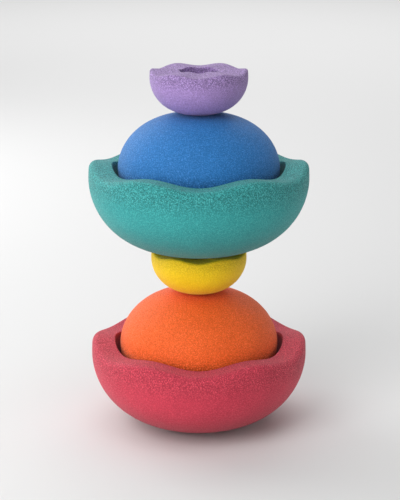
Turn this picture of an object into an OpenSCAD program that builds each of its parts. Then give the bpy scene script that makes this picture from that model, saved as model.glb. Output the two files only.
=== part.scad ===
// Stacking stone tower: six hollow foam stones in three sizes, piled rim up and rim down.
// Millimetres, +Z up, the tower stands on z = 0 and its axis is the Z axis.
// Every stone is one moulding: a flat foot, a bulging skin, a wavy rim and a bowl-shaped hollow.

/* [Large stone, red and teal] */
// Widest diameter of the large stone.
large_d = 275; // [250:1:300]
// Height from its foot to the mean level of its rim.
large_h = 108; // [102:1:114]
// Height of its widest place.
large_belly = 92; // [86:1:95]
// Diameter of its mouth at the inner edge of the rim.
large_mouth_d = 215; // [213:1:217]
// Thickness of its floor at the middle.
large_floor = 27; // [20:1:34]

/* [Medium stone, orange and blue] */
// Widest diameter of the medium stone.
medium_d = 202; // [198:1:204]
// Height from its foot to the mean level of its rim.
medium_h = 89; // [84:1:92]
// Height of its widest place.
medium_belly = 68; // [62:1:70]
// Diameter of its mouth at the inner edge of the rim.
medium_mouth_d = 128; // [120:1:134]
// Thickness of its floor at the middle.
medium_floor = 22; // [16:1:30]

/* [Small stone, yellow and purple] */
// Widest diameter of the small stone.
small_d = 121; // [112:1:124]
// Height from its foot to the mean level of its rim.
small_h = 53.5; // [50:0.5:60]
// Height of its widest place.
small_belly = 45; // [40:1:46]
// Diameter of its mouth at the inner edge of the rim.
small_mouth_d = 48; // [40:1:60]
// Thickness of its floor at the middle.
small_floor = 16; // [12:1:24]

/* [Rim] */
// Number of waves round every rim.
wave_count = 6; // [4:1:8]
// Wave height from valley to peak on the large rim. The other rims have it in proportion.
wave_rise = 9.2; // [4:0.2:10]
// Radius of the rounding on the outer edge of the large rim.
rim_round = 8; // [5:0.5:9]

/* [Stack] */
// Air left where a curved skin rests on a rim or in a mouth.
seat_gap = 0.4; // [0.3:0.1:1]

/* [Hidden] */

// Sides of every stone, a whole number for each half wave.
sides = wave_count * 12;
// Steps along the skin, the upright part of the wall, each edge rounding, the rim and the hollow.
skin_steps = 8;
wall_steps = 2;
round_steps = 3;
hollow_steps = 7;
// Inward lean of the wall above the widest place.
lean = 0.8;
// Share of the hollow's depth over which the wave dies out.
wave_fade = 0.2;

// A stone is this list, read through the names below it.
large = [
  large_d / 2, large_belly, large_h, large_mouth_d / 2, large_floor,
  2.875, 1.877, 30, rim_round, 1.4, -1, wave_rise / 2, 2, 1.48
];
medium = [
  medium_d / 2, medium_belly, medium_h, medium_mouth_d / 2, medium_floor,
  2.516, 1.884, 22, rim_round * 0.72, 1.2, -0.8, wave_rise / 2 * medium_d / large_d, 2.1, 1.8
];
small = [
  small_d / 2, small_belly, small_h, small_mouth_d / 2, small_floor,
  2.445, 2.004, 15, rim_round * 0.41, 1, 0.5, wave_rise / 2 * small_d / large_d, 2.4, 2.2
];

// Fields of a stone.
RADIUS = 0;
BELLY = 1;
HEIGHT = 2;
MOUTH = 3;
FLOOR = 4;
SKIN_N = 5;
SKIN_M = 6;
FOOT = 7;
ROUND = 8;
EDGE = 9;
TILT = 10;
WAVE = 11;
HOLLOW_N = 12;
HOLLOW_M = 13;

function power(base, exponent) = base <= 0 ? 0 : pow(base, exponent);

// Angle at which the superellipse of the skin reaches the edge of the flat foot.
function foot_angle(s) = acos(power(s[FOOT] / s[RADIUS], s[SKIN_N] / 2));

// Height of the skin over the foot, at distance q from the axis and below the widest place.
function skin_height(s, q) =
  let (at_foot = power(sin(foot_angle(s)), 2 / s[SKIN_M]))
  let (here = power(1 - power(q / s[RADIUS], s[SKIN_N]), 1 / s[SKIN_M]))
  q <= s[FOOT] ? 0 : s[BELLY] * (at_foot - here) / at_foot;

// Radius of the wall above the widest place.
function wall_radius(s, z) = s[RADIUS] - lean * pow(z - s[BELLY], 2) / s[RADIUS];

// Heights and radii at which the outer rounding and the inner edge rounding begin.
function round_z(s) = s[HEIGHT] - s[ROUND];
function round_r(s) = wall_radius(s, round_z(s)) - s[ROUND];
function edge_z(s) = s[HEIGHT] + s[TILT] - s[EDGE];
function edge_r(s) = s[MOUTH] + s[EDGE];

// Section of a stone from the foot round the rim to the floor of the hollow.
// Each point is a radius, a mean height and the share of the wave it takes.
function skin_section(s) = [
  for (i = [0 : skin_steps])
    let (t = foot_angle(s) * (1 - i / skin_steps))
    let (r = s[RADIUS] * power(cos(t), 2 / s[SKIN_N]))
    [r, i == skin_steps ? s[BELLY] : skin_height(s, r), 0]
];
function wall_section(s) = [
  for (i = [1 : wall_steps])
    let (z = s[BELLY] + (round_z(s) - s[BELLY]) * i / wall_steps)
    [wall_radius(s, z), z, i / wall_steps]
];
function rounding_section(s) = [
  for (i = [1 : round_steps])
    let (a = 90 * i / round_steps)
    [round_r(s) + s[ROUND] * cos(a), round_z(s) + s[ROUND] * sin(a), 1]
];
function edge_section(s) = [
  for (i = [0 : 2])
    let (a = 90 * (1 - i / 2))
    [edge_r(s) - s[EDGE] * cos(a), edge_z(s) + s[EDGE] * sin(a), 1]
];
function hollow_section(s) = [
  for (i = [1 : hollow_steps])
    let (t = 84 * i / hollow_steps)
    let (deep = power(sin(t), 2 / s[HOLLOW_M]))
    [
      s[MOUTH] * power(cos(t), 2 / s[HOLLOW_N]),
      edge_z(s) - (edge_z(s) - s[FLOOR]) * deep,
      max(0, 1 - deep / wave_fade)
    ]
];
function stone_section(s) = concat(
  skin_section(s), wall_section(s), rounding_section(s), edge_section(s), hollow_section(s)
);

// How far the wave lifts a point of the section at an angle. The front, -Y, is a valley.
function wave_lift(s, p, angle) = -p[2] * s[WAVE] * p[0] / s[RADIUS] * cos(wave_count * angle);
function at_crest(s, p) = p[1] + wave_lift(s, p, 180 / wave_count);

// Height of a large stone's foot over a small stone's foot when it rests on the crests of its rim.
rim_points = concat(rounding_section(small), edge_section(small));
step_on_rim = max([for (p = rim_points) at_crest(small, p) - skin_height(large, p[0])]) + seat_gap;

// Height of a medium stone's crown over the foot of the large stone that it lies in, rim down.
nest_points = [
  for (k = [0 : 30])
    let (a = 3 * k)
    let (r = round_r(medium) + medium[ROUND] * cos(a))
    let (z = round_z(medium) + medium[ROUND] * sin(a) + medium[WAVE] * r / medium[RADIUS])
    [r, z]
];
hollow_line = [for (p = hollow_section(large)) [p[0], at_crest(large, p)]];
step_in_mouth = max([for (p = nest_points) lookup(p[0], hollow_line) + p[1]]) + seat_gap;

// Levels of the six stones. The rim-down stones are given by their crowns.
red_z = 0;
orange_z = red_z + step_in_mouth;
yellow_z = orange_z;
teal_z = yellow_z + step_on_rim;
blue_z = teal_z + step_in_mouth;
purple_z = blue_z;

// One stone, foot down on z = 0, as a closed skin round its section.
module stone(s) {
  section = stone_section(s);
  rings = len(section);
  points = [
    for (p = section, k = [0 : sides - 1])
      let (angle = 360 * k / sides)
      [p[0] * sin(angle), -p[0] * cos(angle), p[1] + wave_lift(s, p, angle)]
  ];
  bands = [
    for (j = [0 : rings - 2], k = [0 : sides - 1])
      let (next = (k + 1) % sides)
      [j * sides + k, (j + 1) * sides + k, (j + 1) * sides + next, j * sides + next]
  ];
  foot_face = [for (k = [0 : sides - 1]) k];
  floor_face = [for (k = [0 : sides - 1]) rings * sides - 1 - k];
  polyhedron(points = points, faces = concat([foot_face], bands, [floor_face]), convexity = 6);
}

module stone_rim_up(s, z) {
  translate([0, 0, z])
    stone(s);
}

module stone_rim_down(s, crown_z) {
  translate([0, 0, crown_z])
    rotate([180, 0, 0])
      stone(s);
}

module red_large_stone() {
  color([0.72, 0.16, 0.25])
    stone_rim_up(large, red_z);
}

module orange_medium_stone() {
  color([0.93, 0.48, 0.16])
    stone_rim_down(medium, orange_z);
}

module yellow_small_stone() {
  color([0.95, 0.80, 0.20])
    stone_rim_up(small, yellow_z);
}

module teal_large_stone() {
  color([0.25, 0.68, 0.66])
    stone_rim_up(large, teal_z);
}

module blue_medium_stone() {
  color([0.16, 0.42, 0.74])
    stone_rim_down(medium, blue_z);
}

module purple_small_stone() {
  color([0.42, 0.28, 0.60])
    stone_rim_up(small, purple_z);
}

red_large_stone();
orange_medium_stone();
yellow_small_stone();
teal_large_stone();
blue_medium_stone();
purple_small_stone();
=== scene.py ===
# %% [markdown]
# # A tower of foam stacking stones
# Six play stones are piled up: large, medium and small, some with the rim up and some with the rim down.
# Each stone is one moulding of bead foam, a hollow half ball with a thick wall, a flat foot and a rim that
# goes up and down in waves. The tower is six pieces and nothing else, so all the work goes into the shape
# of one rim and into the skin of the foam. The first cell loads the measured model that the pieces follow.

# %% Load the measured model
import math

import bpy
import numpy as np
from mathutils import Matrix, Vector


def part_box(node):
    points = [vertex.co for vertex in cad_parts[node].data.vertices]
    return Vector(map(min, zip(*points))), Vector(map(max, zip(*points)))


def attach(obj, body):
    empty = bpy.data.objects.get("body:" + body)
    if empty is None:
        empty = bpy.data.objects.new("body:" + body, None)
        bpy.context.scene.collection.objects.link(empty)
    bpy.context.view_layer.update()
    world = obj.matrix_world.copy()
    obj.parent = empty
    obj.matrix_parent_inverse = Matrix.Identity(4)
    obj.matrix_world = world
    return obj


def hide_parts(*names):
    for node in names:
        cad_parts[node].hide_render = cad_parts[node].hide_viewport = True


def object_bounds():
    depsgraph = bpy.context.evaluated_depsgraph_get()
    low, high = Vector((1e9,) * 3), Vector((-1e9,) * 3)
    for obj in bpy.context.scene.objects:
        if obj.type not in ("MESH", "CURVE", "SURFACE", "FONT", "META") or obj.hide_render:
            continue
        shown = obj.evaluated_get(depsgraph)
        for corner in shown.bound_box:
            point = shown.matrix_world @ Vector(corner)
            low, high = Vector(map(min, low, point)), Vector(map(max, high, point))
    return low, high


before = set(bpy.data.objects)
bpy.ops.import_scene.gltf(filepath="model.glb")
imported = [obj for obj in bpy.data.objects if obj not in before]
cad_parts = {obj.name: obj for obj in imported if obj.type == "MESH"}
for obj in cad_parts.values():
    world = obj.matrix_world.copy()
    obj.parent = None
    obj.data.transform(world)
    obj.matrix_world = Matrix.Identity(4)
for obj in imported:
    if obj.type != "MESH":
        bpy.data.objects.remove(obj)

cad_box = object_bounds()

# %% [markdown]
# ## Sizes
# Everything is in metres. The widths and levels of the stones come from the measured model, so the new
# pieces can't drift away from it. What a box can't tell, such as how fat the edge of a rim is, is a named
# value here. The fields follow the way a mould maker would describe the stone: where it is widest, how high
# the rim stands, how wide the mouth is and how thick the floor is left.

# %% The three kinds of stone
MM = 0.001

# waves round a rim, their rise on the large rim, and the share of the hollow's depth where they die out
WAVES = 6
WAVE_RISE = 9.2 * MM
WAVE_FADE = 0.2
# how fast the wall leans in above the belly
LEAN = 0.8

# Radii and heights in millimetres. `skin` and `hollow` are the two powers of a superellipse, and `share` is
# the size of this kind's waves next to the large ones.
KINDS = {
    "large": dict(belly=92, height=108, mouth=107.5, floor=27, skin=(2.875, 1.877), hollow=(2, 1.48),
                  foot=30, round=8, edge=1.4, tilt=-1.0, share=1.0),
    "medium": dict(belly=68, height=89, mouth=64, floor=22, skin=(2.516, 1.884), hollow=(2.1, 1.8),
                   foot=22, round=5.76, edge=1.2, tilt=-0.8, share=202 / 275),
    "small": dict(belly=45, height=53.5, mouth=24, floor=16, skin=(2.445, 2.004), hollow=(2.4, 2.2),
                  foot=15, round=3.28, edge=1.0, tilt=0.5, share=121 / 275),
}
PLAIN_NUMBERS = ("skin", "hollow", "share")

# colour, kind, the CAD node that the stone replaces, and whether it lies rim down
TOWER = [
    ("red", "large", "red_large_stone", False),
    ("orange", "medium", "orange_medium_stone", True),
    ("yellow", "small", "yellow_small_stone", False),
    ("teal", "large", "teal_large_stone", False),
    ("blue", "medium", "blue_medium_stone", True),
    ("purple", "small", "purple_small_stone", False),
]


def stone_sizes(kind, node):
    """The sizes of a kind of stone in metres, with its widest radius read from the CAD node's own box."""
    low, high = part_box(node)
    s = {k: (v if k in PLAIN_NUMBERS else v * MM) for k, v in KINDS[kind].items()}
    s["radius"] = (high[0] - low[0]) / 2
    s["wave"] = WAVE_RISE / 2 * s["share"]
    return s


for colour, kind, node, rim_down in TOWER:
    s = stone_sizes(kind, node)
    print(colour, kind, "rim down" if rim_down else "rim up", "width", round(2 * s["radius"], 4))

# %% [markdown]
# ## The section of a stone
# Cut a stone down the middle and the cut face is one closed outline: foot, bulging skin, upright wall, fat
# rounded shoulder, rim, small inner edge and then the bowl of the hollow. A lathe could turn a round rim
# from that outline. The waves can't be turned, so every point of the outline also carries a number from 0
# to 1 that says how much of the wave it takes: none at the widest place, all of it on the rim. A second
# such number tells the finish where the hollow begins.

# %% Outline of the cut
# points on each stretch: the long curves, the wall and shoulder, and the small inner edge
LONG_CURVE = 160
SHORT_CURVE = 24
INNER_EDGE = 12
# angle in radians at which the hollow's curve stops short of its pole, where one point closes the mesh
POLE_GAP = 0.02
# depth of the hollow, as a share of the whole, at which the skin counts as fully inside
INSIDE_FROM = 0.05


def superellipse(start, stop, count, n, m):
    """Points of |r|^n + |1 - z|^m = 1 between two angles, as (r, depth below the start line) from 0 to 1."""
    t = np.linspace(start, stop, count)
    return np.cos(t).clip(0) ** (2 / n), np.sin(t).clip(0) ** (2 / m)


def outline(s):
    """Radius, mean height, wave share and inside share round the section, foot edge to hollow floor.

    The skin is a superellipse from the foot to the belly, the wall leans in by the square of its height over
    the belly, the shoulder and the inner edge are quarter circles, the rim is the straight line between them
    and the hollow is a second superellipse hung from the inner edge.
    """
    n, m = s["skin"]
    foot_angle = math.acos((s["foot"] / s["radius"]) ** (n / 2))
    r, up = superellipse(foot_angle, 0, LONG_CURVE, n, m)
    skin = np.array([r * s["radius"], s["belly"] * (up[0] - up) / up[0], 0 * r, 0 * r])

    z = np.linspace(s["belly"], s["height"] - s["round"], SHORT_CURVE)
    share = (z - z[0]) / (z[-1] - z[0])
    wall = np.array([s["radius"] - LEAN * (z - s["belly"]) ** 2 / s["radius"], z, share, 0 * z])

    a = np.linspace(0, math.pi / 2, SHORT_CURVE)
    middle = wall[0, -1] - s["round"]
    across, up = s["round"] * np.cos(a), s["round"] * np.sin(a)
    shoulder = np.array([middle + across, z[-1] + up, 1 + 0 * a, 0 * a])

    a = np.linspace(math.pi / 2, 0, INNER_EDGE)
    edge_z = s["height"] + s["tilt"] - s["edge"]
    across, up = s["edge"] * (1 - np.cos(a)), s["edge"] * np.sin(a)
    edge = np.array([s["mouth"] + across, edge_z + up, 1 + 0 * a, 0 * a])

    n, m = s["hollow"]
    r, down = superellipse(0, math.pi / 2 - POLE_GAP, LONG_CURVE, n, m)
    drop = edge_z - (edge_z - s["floor"]) * down
    inside = (down / INSIDE_FROM).clip(0, 1)
    hollow = np.array([r * s["mouth"], drop, (1 - down / WAVE_FADE).clip(0), inside])
    return np.concatenate([skin, wall[:, 1:], shoulder[:, 1:], edge, hollow[:, 1:]], axis=1)


def spaced(line, step, tightness=6.0):
    """The outline again with even steps, closer where it turns sharply: the step measure is length plus bend.

    The bend is counted as if it were length, at `tightness` millimetres for each radian.
    """
    run = np.diff(line[:2], axis=1)
    length = np.hypot(*run)
    heading = np.unwrap(np.arctan2(run[1], run[0]))
    bend = np.abs(np.diff(heading, prepend=heading[0]))
    measure = np.concatenate([[0], np.cumsum(length + tightness * MM * bend)])
    marks = np.linspace(0, measure[-1], int(measure[-1] / step) + 2)
    return np.array([np.interp(marks, measure, row) for row in line])


for colour, kind, node, rim_down in TOWER[:3]:
    line = spaced(outline(stone_sizes(kind, node)), 2 * MM)
    print(kind, "outline of", line.shape[1], "points, top of the rim at", round(line[1].max(), 4))

# %% [markdown]
# ## Skin that isn't perfect
# Foam beads are steamed in a mould until they swell and weld. They never fill it perfectly evenly, so the
# skin has low swells a few millimetres across that catch soft light. They are made here by adding up many
# gentle waves that run in all directions. The result only ever sinks the skin inwards, by a fraction of a
# millimetre, so the stone stays within its measured size.

# %% Low swells of the skin
def swells(points, seed, count=36, shortest=7.0, longest=22.0):
    """Sum of plane waves of random direction, length and phase at each point, scaled to lie from 0 to 1.

    Each wave is sin(way . point + phase), and its length in millimetres lies between the two limits.
    """
    rng = np.random.default_rng(seed)
    way = rng.normal(size=(3, count))
    way /= np.linalg.norm(way, axis=0)
    way *= 2 * math.pi / (rng.uniform(shortest, longest, count) * MM)
    field = np.sin(points @ way + rng.uniform(0, 2 * math.pi, count)).sum(axis=1)
    return (field - field.min()) / (field.max() - field.min())


sample = swells(np.linspace((0, 0, 0), (0.1, 0, 0), 200), 3)
print("swells along 100 mm: mean", sample.mean().round(2), "spread", sample.std().round(2))

# %% [markdown]
# ## One stone as a surface on a grid
# The grid has one direction round the stone and one along the outline, so the whole skin is two formulas
# worked out for all the points at once. At each angle the rim is lifted or lowered by a cosine that repeats
# six times in a turn, with a valley at the front. The wave grows in step with the distance from the axis,
# so the outer edge of the rim rises further than the inner edge, as on a fluted dish. The middle of the
# foot and the middle of the hollow are closed with one point each.

# %% The grid of a stone
def stone_grid(s, line, around):
    """Points of the skin, rows along the outline and columns round the axis, foot down on z = 0.

    x = r sin(angle), y = -r cos(angle), z = height - share * wave * r / radius * cos(waves * angle).
    """
    r, z, share = (row[:, None] for row in line[:3])
    angle = np.linspace(0, 2 * math.pi, around, endpoint=False)[None, :]
    lift = -share * s["wave"] * r / s["radius"] * np.cos(WAVES * angle)
    return np.stack([r * np.sin(angle), -r * np.cos(angle), z + lift + 0 * angle], axis=-1)


# %% A closed mesh from a grid
def grid_mesh(name, points, marks):
    """A closed mesh from a grid that wraps round its columns, with one point closing each end.

    `marks` holds named rows of numbers, one for each row of the grid. The mesh keeps them on its points as
    attributes for the finish to read.
    """
    rows, cols = points.shape[:2]
    flat = points.reshape(-1, 3)
    ends = np.array([[0, 0, points[0, :, 2].mean()], [0, 0, points[-1, :, 2].mean()]])
    row, col = np.meshgrid(np.arange(rows - 1), np.arange(cols), indexing="ij")
    a, b = row * cols + col, row * cols + (col + 1) % cols
    quads = np.stack([a, b, b + cols, a + cols], axis=-1).reshape(-1)
    k = np.arange(cols)
    near, far = len(flat), len(flat) + 1
    last = (rows - 1) * cols
    fans = np.concatenate([
        np.stack([np.full(cols, near), (k + 1) % cols, k], axis=-1).reshape(-1),
        np.stack([np.full(cols, far), last + k, last + (k + 1) % cols], axis=-1).reshape(-1),
    ])
    corners = np.concatenate([quads, fans])
    sizes = np.concatenate([np.full(len(quads) // 4, 4), np.full(2 * cols, 3)])
    mesh = bpy.data.meshes.new(name)
    mesh.vertices.add(len(flat) + 2)
    mesh.vertices.foreach_set("co", np.concatenate([flat, ends]).reshape(-1))
    mesh.loops.add(len(corners))
    mesh.loops.foreach_set("vertex_index", corners)
    mesh.polygons.add(len(sizes))
    mesh.polygons.foreach_set("loop_start", np.concatenate([[0], np.cumsum(sizes)[:-1]]))
    mesh.polygons.foreach_set("use_smooth", np.ones(len(sizes), bool))
    mesh.update(calc_edges=True)
    for mark, rows_of in marks.items():
        values = np.concatenate([np.repeat(rows_of, cols), [rows_of[0], rows_of[-1]]]).astype(np.float32)
        mesh.attributes.new(mark, "FLOAT", "POINT").data.foreach_set("value", values)
    mesh.validate()
    return mesh


# %% The swells pressed into the skin
SKIN_SINK = 0.16 * MM
# below this height a point belongs to the foot
FOOT_LEVEL = 0.5 * MM


def sink(points, seed, depth):
    """Moves every point in along the grid's own normal by `depth` times the swells. The foot stays flat.

    The normal is the cross product of the steps along the outline and round the axis, made one long.
    """
    around = np.roll(points, -1, axis=1) - np.roll(points, 1, axis=1)
    along = np.gradient(points, axis=0)
    normal = np.cross(along, around)
    normal /= np.linalg.norm(normal, axis=2, keepdims=True) + 1e-12
    amount = swells(points.reshape(-1, 3), seed).reshape(points.shape[:2] + (1,))
    return points + normal * amount * depth * np.where(points[..., 2:] < FOOT_LEVEL, 0, 1)


# %% [markdown]
# ## The six stones
# Each stone is its own piece and rides on its own body, so it can be lifted off the tower. A stone that lies
# rim down is the same shape turned half round the X axis. Turning it by changing two signs keeps it a true
# turn and not a mirror image, so its faces still point outwards. Three marks go with the points for the
# finish: how near the rim they are, how near the foot, and whether they lie in the hollow.

# %% Stones on their bodies
# columns round the axis and the step along the outline
GRIDS = {"large": (432, 1.9 * MM), "medium": (360, 1.7 * MM), "small": (288, 1.2 * MM)}
# where each mark begins and how far it takes to blend, as shares of the height
RIM_BLEND = (0.62, 0.3)
FOOT_BLEND = (0.08, 0.5)


def smooth(x, start, width):
    """0 before `start`, 1 from `start + width` on, and 3 t^2 - 2 t^3 between them."""
    t = ((x - start) / width).clip(0, 1)
    return t * t * (3 - 2 * t)


def make_stone(colour, kind, node, rim_down, seed):
    """The stone of that colour as an object at the origin, with its place in its mesh."""
    s = stone_sizes(kind, node)
    around, step = GRIDS[kind]
    line = spaced(outline(s), step)
    points = sink(stone_grid(s, line, around), seed, SKIN_SINK)
    low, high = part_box(node)
    if rim_down:
        points = points * np.array([1, -1, -1]) + np.array([0, 0, high[2]])
    else:
        points = points + np.array([0, 0, low[2]])
    part_way = line[1] / s["height"]
    marks = {
        "rim": smooth(part_way, *RIM_BLEND),
        "foot": 1 - smooth(part_way, *FOOT_BLEND),
        "inside": line[3],
    }
    obj = bpy.data.objects.new(colour + "_foam_stone", grid_mesh(colour + "_foam_stone", points, marks))
    bpy.context.scene.collection.objects.link(obj)
    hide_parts(node)
    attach(obj, colour + "_stone")
    colour + "_foam"
    return obj


FIRST_SEED = 11
stones = {}
for seed, (colour, kind, node, rim_down) in enumerate(TOWER, FIRST_SEED):
    stones[colour] = make_stone(colour, kind, node, rim_down, seed)
    print(colour, "stone:", sum(len(p.vertices) - 2 for p in stones[colour].data.polygons), "triangles")

# %% [markdown]
# ## Writing a finish as arithmetic
# A Blender material is a web of nodes, but most of it is plain sums. The small class below wraps the output
# of a node, so that `1 - mask * 0.3` in Python adds the Math nodes for it. Colours are blended with `mix`,
# and `add_node` adds any other kind of node with its settings and inputs. Where a node has several sockets of
# one name, as a Mix node has, they are given by number.

# %% A socket that does sums
class Wire:
    """The output of a node. Sums with numbers or other wires add Math nodes to the same material."""

    def __init__(self, socket):
        self.socket = socket
        self.tree = socket.node.id_data

    def _math(self, operation, first, second, clamp=False):
        settings = {"operation": operation, "use_clamp": clamp}
        return add_node(self.tree, "ShaderNodeMath", settings, {0: first, 1: second})

    def __add__(self, other): return self._math("ADD", self, other)
    def __radd__(self, other): return self._math("ADD", other, self)
    def __sub__(self, other): return self._math("SUBTRACT", self, other)
    def __rsub__(self, other): return self._math("SUBTRACT", other, self)
    def __mul__(self, other): return self._math("MULTIPLY", self, other)
    def __rmul__(self, other): return self._math("MULTIPLY", other, self)

    def clamp(self): return self._math("ADD", self, 0.0, clamp=True)


def add_node(tree, kind, settings=None, inputs=None, out=0):
    """Adds a node, applies its settings, then fills or links its inputs. Returns the chosen output."""
    n = tree.nodes.new(kind)
    for key, value in (settings or {}).items():
        setattr(n, key, value)
    for key, value in (inputs or {}).items():
        socket = n.inputs[key]
        if isinstance(value, Wire):
            tree.links.new(value.socket, socket)
        else:
            socket.default_value = value
    return Wire(n.outputs[out]) if len(n.outputs) else n


def mix(tree, factor, a, b):
    """Colour a turning into colour b as the factor goes from 0 to 1."""
    settings = {"data_type": "RGBA", "clamp_factor": True}
    return add_node(tree, "ShaderNodeMix", settings, {0: factor, 6: a, 7: b}, out=2)


# %% [markdown]
# ## Bead foam
# The foam is polypropylene blown into beads and welded in a mould with a finely pebbled face. Close up there
# are three layers. Over the whole stone the colour drifts a little, because the beads don't all take the
# pigment alike. The beads are about three millimetres across and meet in faint seams. Over them runs a fine
# pebble that the mould leaves, a little over a millimetre across. Its pits are painted darker as painted
# shade and its tops paler as painted highlight, which gives the sparkle of slanting light. Each layer reads
# the object's own coordinates in metres, so the pebble has one true size on large and small stones.

# %% Colours as the shader wants them
def lin(r, g, b):
    """An 8-bit screen colour as a linear colour, by the usual curve with its straight foot below 10."""
    curve = (((v / 255 + 0.055) / 1.055) ** 2.4 if v > 10 else v / 255 / 12.92 for v in (r, g, b))
    return tuple(curve) + (1.0,)


def shade(colour, factor, white=0.0):
    """The colour times the factor, then mixed with white by the given share."""
    return tuple(min(1.0, v * factor * (1 - white) + white) for v in colour[:3]) + (1.0,)


# %% Pattern of the foam skin
# size of each layer
DRIFT = 30 * MM
BEAD = 3.4 * MM
DOT = 1.6 * MM
WORM = 1.15 * MM
# size of the soft noise that bends the cells, and how far it moves a point
BEND = 2.9 * MM
BEND_REACH = 1.5 * MM
# how quickly a bead seam fades, and the share of the pebble that is round dots; the rest is worms
SEAM_EDGE = 6
DOT_SHARE = 0.4
# contrast of the soft noises: where each starts to rise and how steeply
DRIFT_RISE = (0.34, 2.4)
WORM_RISE = (0.34, 3.1)
# the Object output of Texture Coordinate, by number
OBJECT_PLACE = 3


def noise(tree, place, size, detail, distortion=0.0, out=0):
    """Soft noise at the given size in metres. Output 0 is a number and output 1 a colour."""
    inputs = {"Vector": place, "Scale": 1 / size, "Detail": detail, "Distortion": distortion}
    return add_node(tree, "ShaderNodeTexNoise", {}, inputs, out)


def cells(tree, place, size, feature="F1", randomness=1.0, out=0):
    """Voronoi cells of the given size in metres. Output 0 is a distance and output 1 the cell's colour."""
    inputs = {"Vector": place, "Scale": 1 / size, "Randomness": randomness}
    return add_node(tree, "ShaderNodeTexVoronoi", {"feature": feature}, inputs, out)


def stretch(wire, low, gain):
    """The wire with more contrast: 0 up to `low`, then rising `gain` times as fast, and held at 1."""
    return ((wire - low) * gain).clamp()


def foam_pattern(tree):
    """Slow drift, bead tone, bead seam and pebble height as wires, each from 0 to 1.

    Beads and dots are Voronoi cells on coordinates that a soft noise has bent, so no cell edge is straight.
    The worms are a finer noise, stretched in contrast until it is nearly all tops and pits.
    """
    place = add_node(tree, "ShaderNodeTexCoord", out=OBJECT_PLACE)
    drift = noise(tree, place, DRIFT, 3.0)
    bend = noise(tree, place, BEND, 1.0, out=1)
    bent = add_node(tree, "ShaderNodeVectorMath", {"operation": "MULTIPLY_ADD"},
                    {0: bend, 1: (BEND_REACH,) * 3, 2: place})

    seam = 1 - (cells(tree, bent, BEAD, "DISTANCE_TO_EDGE", 0.9) * SEAM_EDGE).clamp()
    tone = add_node(tree, "ShaderNodeSeparateColor", {}, {0: cells(tree, bent, BEAD, "F1", 0.9, out=1)})

    dots = (1.05 - cells(tree, bent, DOT) * 1.7).clamp()
    worms = stretch(noise(tree, place, WORM, 2.0, 0.6), *WORM_RISE)
    pebble = dots * DOT_SHARE + worms * (1 - DOT_SHARE)
    return drift, tone, seam, pebble


# %% The foam finish
# how much of the pebble's painted pit shade and top highlight shows in the colour low down, and what it gains
# at the rim
PEBBLE_LOW = 0.52
PEBBLE_GAIN = 0.78
# how sharply the pebble parts into pits and tops
CRISP = 4
# how far each feature changes the colour: the bead tone and seams are the foam's own, the pits' change is
# painted shade and the tops' painted highlight
BEAD_TONE = 0.10
SEAM_DEPTH = 0.12
PIT_DEPTH = 0.75
TOP_LIGHT = 0.8
# shades of the body colour, each a factor and a share of white
DULL, FRESH = (0.94, 0.0), (1.05, 0.005)
DARK_BEAD, PALE_BEAD = (0.6, 0.0), (1.3, 0.0)
# the three below: the first darkens bead seams and is painted shade in the pebble's pits and towards the
# foot, the second is painted highlight on the pebble's tops, the third is painted shade in the hollow
DARK_SEAM_AND_SHADE, LIT, PAINTED_HOLLOW_SHADE = (0.45, 0.0), (1.3, 0.06), (0.3, 0.0)
# roughness of the skin, what a pit adds, what a top takes off and how far the drift sways it
ROUGHNESS, PIT_ROUGH, TOP_SMOOTH, DRIFT_SWAY = 0.62, 0.14, 0.08, 0.1
# shares of the height: pebble low down, what the rim adds to it, bead faces and bead tone
PEBBLE_HIGH, RIM_HIGH, FACE_HIGH, TONE_HIGH = 0.6, 0.8, 0.2, 0.1
# the bump: how much of it acts, and its height
BUMP_STRENGTH = 0.9
BUMP_HEIGHT = 0.55 * MM


def mark(tree, name):
    """One of the marks that a stone's points carry, as a wire."""
    return add_node(tree, "ShaderNodeAttribute", {"attribute_name": name}, out=2)


def foam_skin(tree, body, depth, hollow, painted_foot_shade):
    """Colour, roughness and height of the skin as wires.

    The body colour drifts and each bead has its own tone. Seams are darker, pits get painted shade and tops
    painted highlight, and then the hollow and the skin towards the foot get painted shade by their own
    shares. Pits are rougher than tops. The height is mostly pebble, with a little from the beads and their
    seams.
    """
    drift, tone, seam, pebble = foam_pattern(tree)
    rim = mark(tree, "rim")
    show = (PEBBLE_LOW + rim * PEBBLE_GAIN) * depth
    pit = stretch(1 - pebble, 0.5, CRISP)
    top = stretch(pebble, 0.5, CRISP)
    dark_seam_and_shade = shade(body, *DARK_SEAM_AND_SHADE)

    base = mix(tree, stretch(drift, *DRIFT_RISE), shade(body, *DULL), shade(body, *FRESH))
    base = mix(tree, BEAD_TONE, base, mix(tree, tone, shade(body, *DARK_BEAD), shade(body, *PALE_BEAD)))
    # painted shade in the pebble's pits, with the darker bead seams, and painted highlight on its tops
    base = mix(tree, (pit * show + seam * SEAM_DEPTH) * PIT_DEPTH, base, dark_seam_and_shade)
    base = mix(tree, (top * show * TOP_LIGHT).clamp(), base, shade(body, *LIT))
    # painted shade in the hollow, so the gaps between nested stones look darker
    base = mix(tree, mark(tree, "inside") * hollow, base, shade(body, *PAINTED_HOLLOW_SHADE))
    # painted shade on the skin towards the foot, darker low down
    base = mix(tree, mark(tree, "foot") * painted_foot_shade, base, dark_seam_and_shade)

    rough = ROUGHNESS + pit * PIT_ROUGH - top * TOP_SMOOTH + (drift - 0.5) * DRIFT_SWAY
    height = pebble * (PEBBLE_HIGH + rim * RIM_HIGH) + (1 - seam) * FACE_HIGH + tone * TONE_HIGH
    return base, rough, height


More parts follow.
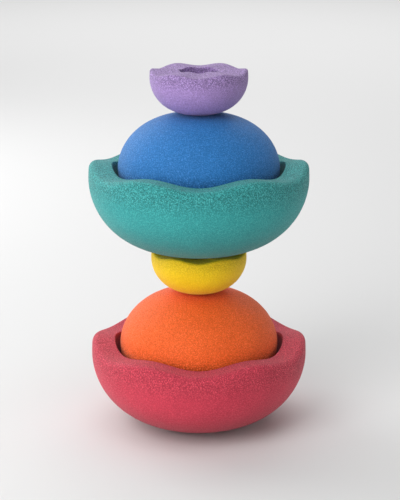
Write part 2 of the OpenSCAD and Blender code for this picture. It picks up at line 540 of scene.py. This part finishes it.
def foam(name, **finish):
    """Bead foam of one colour, matt, with a trace of sheen that softens its edges."""
    material = bpy.data.materials.new(name)
    material.use_nodes = True
    tree = material.node_tree
    tree.nodes.clear()
    base, rough, height = foam_skin(tree, **finish)
    bump = add_node(tree, "ShaderNodeBump", {},
                    {"Strength": BUMP_STRENGTH, "Distance": BUMP_HEIGHT, "Height": height})
    shader = add_node(tree, "ShaderNodeBsdfPrincipled", {}, {
        "Base Color": base, "Roughness": rough, "Normal": bump, "IOR": 1.45,
        "Specular IOR Level": 0.4, "Sheen Weight": 0.1, "Sheen Roughness": 0.4,
    })
    add_node(tree, "ShaderNodeOutputMaterial", {}, {0: shader})
    return material


# %% Six colours of foam
# `depth` is how strongly the pebble's painted pit shade and top highlight show in the colour. The last two
# numbers say how much painted shade the hollow and the skin towards the foot get.
FOAMS = {
    "red": dict(body=lin(213, 58, 81), depth=0.75, hollow=0.85, painted_foot_shade=0.6),
    "orange": dict(body=lin(252, 100, 25), depth=1.15, hollow=0.6, painted_foot_shade=0.0),
    "yellow": dict(body=lin(255, 210, 2), depth=0.4, hollow=0.3, painted_foot_shade=0.1),
    "teal": dict(body=lin(51, 165, 164), depth=1.0, hollow=0.85, painted_foot_shade=0.6),
    "blue": dict(body=lin(31, 116, 187), depth=1.2, hollow=0.6, painted_foot_shade=0.0),
    "purple": dict(body=lin(169, 139, 199), depth=0.95, hollow=0.2, painted_foot_shade=0.0),
}
for colour, finish in FOAMS.items():
    stones[colour].data.materials.append(foam(colour + "_foam", **finish))
print("finishes:", sorted(FOAMS))

# %% [markdown]
# ## Floor and light
# The tower stands on a plain pale floor in soft studio light. Two broad lamps front left, one over the other,
# are the key, and a weak one hangs over the front. One behind on the left gives the stones their pale left
# edges, a weak one marks the right edges, and a wide one lies flat over the floor behind and washes it pale.
# The room adds a little light from all round, so the gaps between nested stones stay dark but not black;
# painted shade in each hollow darkens them further.

# %% The floor
FLOOR_HALF = 12
FLOOR_COLOUR = (0.7, 0.7, 0.7, 1)
FLOOR_ROUGHNESS = 0.9


def flat_floor(half):
    """One square face on z = 0, that reaches `half` metres from the axis each way."""
    mesh = bpy.data.meshes.new("studio_floor")
    corners = [(-half, -half, 0), (half, -half, 0), (half, half, 0), (-half, half, 0)]
    mesh.from_pydata(corners, [], [(0, 1, 2, 3)])
    floor = bpy.data.objects.new("studio_floor", mesh)
    bpy.context.scene.collection.objects.link(floor)
    material = bpy.data.materials.new("studio_floor")
    material.use_nodes = True
    shader = material.node_tree.nodes["Principled BSDF"]
    shader.inputs["Base Color"].default_value = FLOOR_COLOUR
    shader.inputs["Roughness"].default_value = FLOOR_ROUGHNESS
    floor.data.materials.append(material)
    return floor


flat_floor(FLOOR_HALF)

# %% Light
# name: turn and height in degrees, distance and size in metres, power in watts
LAMPS = {
    "key_high": (-34, 38, 2.2, 1.3, 20),
    "key_low": (-40, 10, 2.2, 1.3, 19),
    "top_soft": (10, 66, 2.2, 1.3, 8),
    "back_left": (-127, 24, 2.2, 1.6, 27),
    "right_edge": (95, 12, 2.2, 1.3, 5),
    "floor_wash": (180, 33, 5.2, 5, 150),
}
ROOM_LIGHT = 0.3
tower_middle = Vector((0, 0, cad_box[1][2] / 2))


def soft_lamp(name, turn, height, distance, size, watts):
    """A square soft lamp that looks at the middle of the tower.

    `turn` is its angle in degrees round the tower from the camera, positive to the right, and `height` its
    angle above the middle. The direction is (sin turn * cos height, -cos turn * cos height, sin height).
    """
    t, h = math.radians(turn), math.radians(height)
    way = Vector((math.sin(t) * math.cos(h), -math.cos(t) * math.cos(h), math.sin(h)))
    lamp = bpy.data.lights.new(name, "AREA")
    lamp.shape, lamp.size, lamp.energy = "SQUARE", size, watts
    obj = bpy.data.objects.new(name, lamp)
    obj.location = tower_middle + way * distance
    obj.rotation_euler = (-way).to_track_quat("-Z", "Y").to_euler()
    bpy.context.scene.collection.objects.link(obj)
    return obj


lamps = {name: soft_lamp(name, *settings) for name, settings in LAMPS.items()}
# the wash looks straight down at the floor
lamps["floor_wash"].rotation_euler = (0, 0, 0)
print("lamps:", list(lamps))

# %% Room light and colour handling
world = bpy.data.worlds.new("studio")
world.use_nodes = True
world.node_tree.nodes["Background"].inputs["Color"].default_value = (1, 1, 1, 1)
world.node_tree.nodes["Background"].inputs["Strength"].default_value = ROOM_LIGHT
bpy.context.scene.world = world
bpy.context.scene.view_settings.view_transform = "Standard"
bpy.context.scene.view_settings.look = "None"

# %% [markdown]
# ## Camera
# A long lens from nearly two metres keeps the ellipses of the rims slim. It looks down by about sixteen
# degrees, enough to see into the mouths of the stones and still see their bulging sides.

# %% The camera
PITCH = math.radians(15.67)
DISTANCE = 1.775
AIM_HEIGHT = 0.2234
LENS = 100.99
SENSOR = 36
SHIFT = (0.00224, 0.004)
# nearest and farthest distance that it draws
CLIP = (0.05, 100)


def studio_camera():
    """A camera in front of the tower, at the distance from the point that it looks at on the axis."""
    data = bpy.data.cameras.new("camera")
    data.lens, data.sensor_width = LENS, SENSOR
    data.shift_x, data.shift_y = SHIFT
    data.clip_start, data.clip_end = CLIP
    camera = bpy.data.objects.new("camera", data)
    camera.location = (0, -DISTANCE * math.cos(PITCH), AIM_HEIGHT + DISTANCE * math.sin(PITCH))
    camera.rotation_euler = (math.pi / 2 - PITCH, 0, 0)
    bpy.context.scene.collection.objects.link(camera)
    bpy.context.scene.camera = camera
    return camera


print("camera at", [round(v, 3) for v in studio_camera().location])
